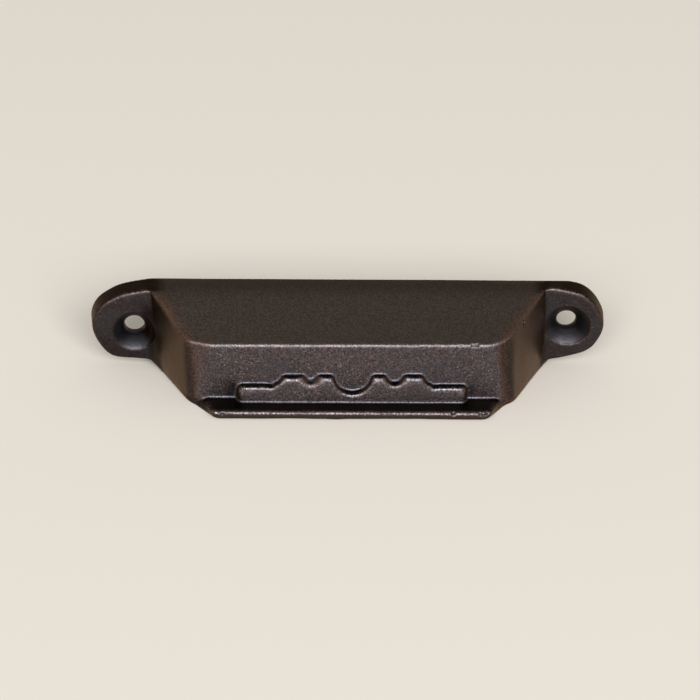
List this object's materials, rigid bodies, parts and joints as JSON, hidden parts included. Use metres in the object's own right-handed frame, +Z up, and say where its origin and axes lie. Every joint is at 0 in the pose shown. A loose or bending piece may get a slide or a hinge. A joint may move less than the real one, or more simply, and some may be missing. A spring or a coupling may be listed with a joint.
{
  "type": "drawer pull",
  "caption": "Cup-shaped cast drawer pull with converging sides, a scalloped raised pad over a front ledge, and a countersunk screw ear at each end.",
  "frame": {"origin": "on the back plane, midway between the two ears, at the mean height of the screw holes", "axes": "+X along the drawer front, +Y into the drawer front, +Z up; the pull stands out towards -Y"},
  "size_m": [0.1142, 0.0251, 0.0209],
  "materials": {
    "cast_iron": "antique copper patina, dark brown and slightly rough, burnished on its raised edges"
  },
  "bodies": {
    "root": {"pull_casting": "cast_iron"}
  },
  "joints": []
}
